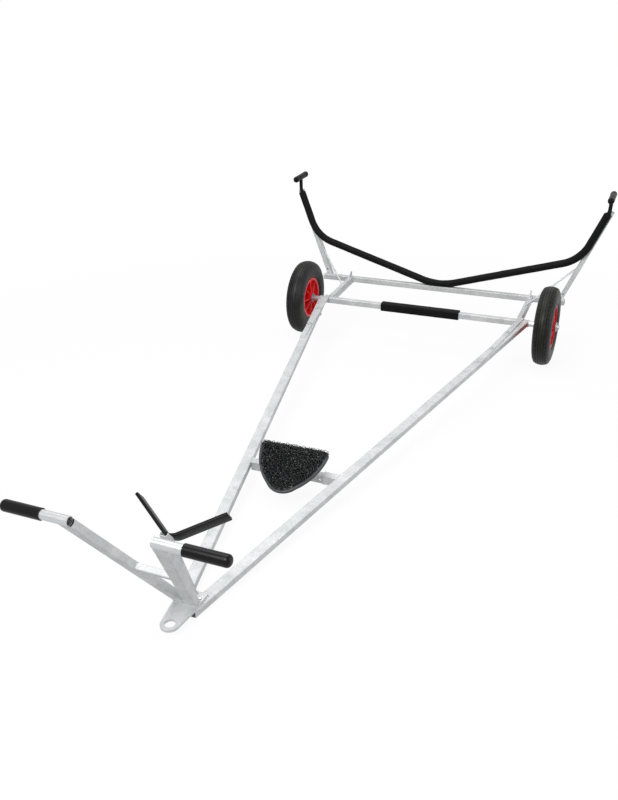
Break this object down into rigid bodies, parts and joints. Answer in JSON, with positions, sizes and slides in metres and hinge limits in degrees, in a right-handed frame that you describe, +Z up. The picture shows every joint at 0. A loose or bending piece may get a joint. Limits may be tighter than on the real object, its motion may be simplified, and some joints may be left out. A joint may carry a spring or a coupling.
{
  "type": "dinghy launching trolley",
  "caption": "Two-wheeled launching trolley for a sailing dinghy: A-frame, padded hull cradle with gunwale rests, keel board, bow rest and towing handles over a hitch eye.",
  "frame": {"origin": "on the floor, on the centre plane, halfway between the front of the handle grips and the rear of the gunwale pads", "axes": "+X across the trolley along the axle, +Y from the hitch towards the cradle, +Z up"},
  "size_m": [1.7804, 3.3073, 0.8058],
  "materials": {
    "galvanised_steel": "hot-dip galvanised, matt grey with a fine spangle",
    "bright_zinc": "bright zinc plate",
    "foam_black": "closed-cell foam sleeve",
    "rubber_grey": "moulded rubber",
    "grip_black": "soft-gloss moulded grip",
    "tyre_rubber": "dusty tread rubber",
    "rim_red": "injection-moulded, weathered gloss",
    "bush_grey": "moulded bearing bush",
    "board_rubber": "smooth grey moulding",
    "mat_bristle": "looped bristle mat",
    "bow_coating": "rubber-coated strap"
  },
  "bodies": {
    "frame": {"arm_cross_brace": "galvanised_steel", "axle_pad": "foam_black", "axle_tube": "galvanised_steel", "board_bracket": "galvanised_steel", "bow_post": "galvanised_steel", "bow_rest": "bow_coating", "brace_left": "galvanised_steel", "brace_right": "galvanised_steel", "cradle_foam": "foam_black", "cradle_tube": "galvanised_steel", "drawbar_left": "galvanised_steel", "drawbar_right": "galvanised_steel", "grip_left": "grip_black", "grip_right": "grip_black", "gunwale_pad_left": "rubber_grey", "gunwale_pad_right": "rubber_grey", "gunwale_post_left": "galvanised_steel", "gunwale_post_right": "galvanised_steel", "handle_arm_left": "galvanised_steel", "handle_arm_right": "galvanised_steel", "handle_tube_left": "bright_zinc", "handle_tube_right": "bright_zinc", "hitch_plate": "galvanised_steel", "keel_board": "board_rubber", "keel_crossmember": "galvanised_steel", "keel_mat": "mat_bristle", "keel_stub_left": "galvanised_steel", "keel_stub_right": "galvanised_steel", "rear_crossbar": "galvanised_steel", "side_rail_left": "galvanised_steel", "side_rail_right": "galvanised_steel", "spindle_left": "bright_zinc", "spindle_right": "bright_zinc", "spindle_washer_left": "bright_zinc", "spindle_washer_right": "bright_zinc", "strap_lug_left": "galvanised_steel", "strap_lug_right": "galvanised_steel", "tongue_left": "galvanised_steel", "tongue_right": "galvanised_steel", "upright_left": "galvanised_steel", "upright_right": "galvanised_steel"},
    "wheel_left": {"hub_bush_left_inner": "bush_grey", "hub_bush_left_outer": "bush_grey", "rim_left": "rim_red", "tyre_left": "tyre_rubber"},
    "wheel_right": {"hub_bush_right_inner": "bush_grey", "hub_bush_right_outer": "bush_grey", "rim_right": "rim_red", "tyre_right": "tyre_rubber"}
  },
  "joints": [
    {"name": "wheel_left_spin", "type": "hinge", "parent": "frame", "child": "wheel_left", "pos_m": [-0.664, 1.14911, 0.2], "axis": [1, 0, 0], "continuous": true},
    {"name": "wheel_right_spin", "type": "hinge", "parent": "frame", "child": "wheel_right", "pos_m": [0.664, 1.14911, 0.2], "axis": [1, 0, 0], "continuous": true}
  ]
}
